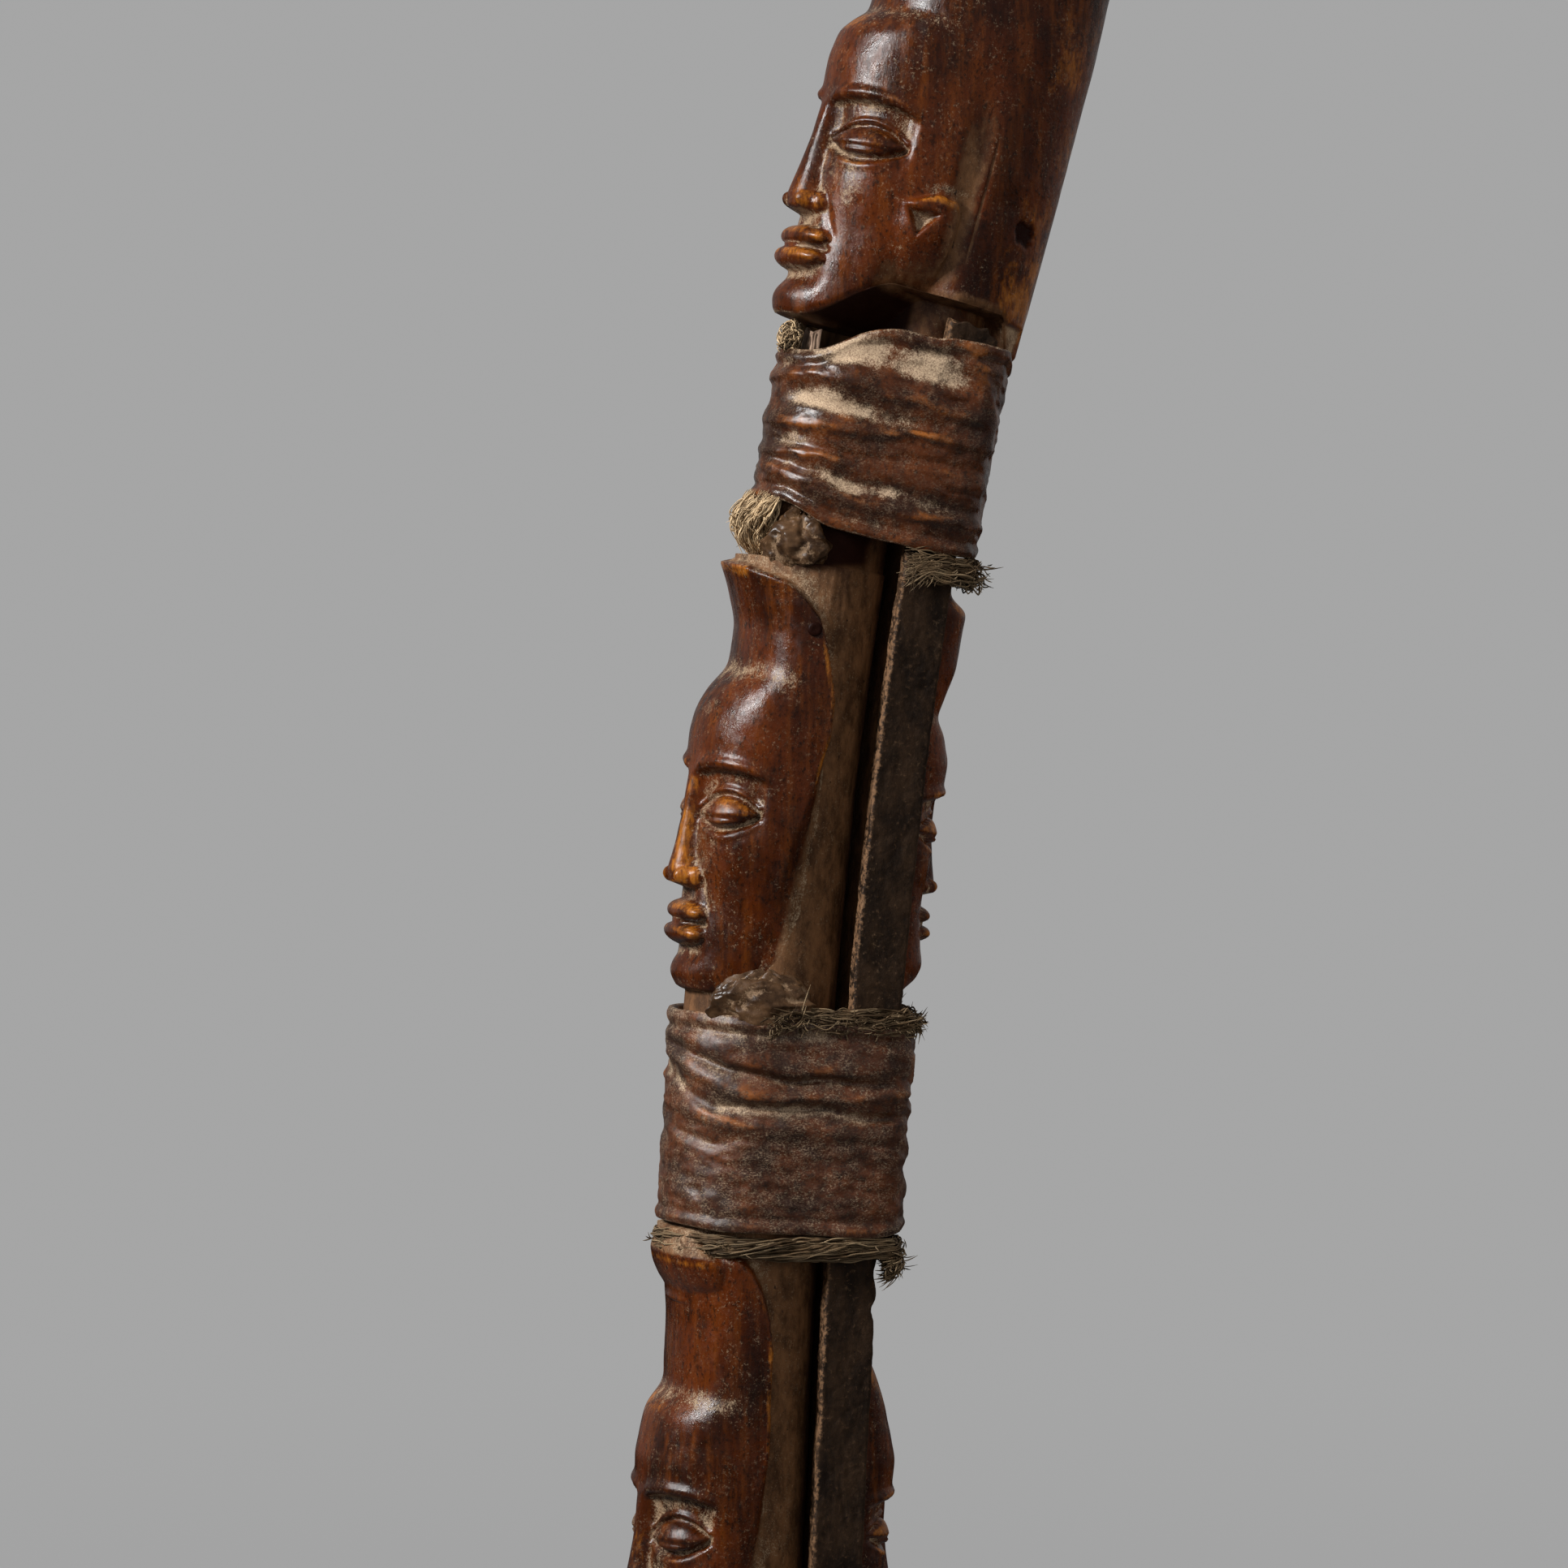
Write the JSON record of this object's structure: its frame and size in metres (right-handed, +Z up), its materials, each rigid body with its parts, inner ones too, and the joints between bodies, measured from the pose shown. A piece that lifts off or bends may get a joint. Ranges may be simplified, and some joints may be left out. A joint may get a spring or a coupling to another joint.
{
  "type": "carved staff",
  "caption": "Bowed wooden staff with a carved head finial, heads facing front and back along it, side splints, fibre windings and shrunk hide bands.",
  "frame": {"origin": "centre of the flat foot", "axes": "+Z up along the staff, -X the way the front faces look, -Y the near side of the picture"},
  "size_m": [0.1, 0.0403, 0.7653],
  "materials": {
    "carved_wood": "polished dark red-brown wood, orange on worn edges, pale dust in the recesses",
    "iron": "forged strip with dark brown rust",
    "pale_wood": "dry split wood",
    "hide": "shrunk, wrinkled, glossy dark hide with dusty valleys",
    "fibre": "dry olive and beige plant fibre",
    "resin": "dark uneven glossy resin"
  },
  "bodies": {
    "root": {"lower_shaft": "carved_wood", "lower_front_head": "carved_wood", "upper_front_head": "carved_wood", "lower_back_head": "carved_wood", "upper_back_head": "carved_wood", "finial_head": "carved_wood", "near_splint": "iron", "far_splint": "iron", "neck_wedge": "pale_wood", "upper_band": "hide", "middle_band": "hide", "lower_band": "hide", "upper_wadding": "fibre", "middle_wadding": "fibre", "lower_wadding": "fibre", "upper_wrap_below": "fibre", "middle_wrap_below": "fibre", "middle_wrap_above": "fibre", "lower_wrap_above": "fibre", "lower_wrap_below": "fibre", "front_fibre_tuft": "fibre", "neck_fibre_tuft": "fibre", "front_resin": "resin", "near_resin": "resin", "crest_peg": "resin"}
  },
  "joints": []
}
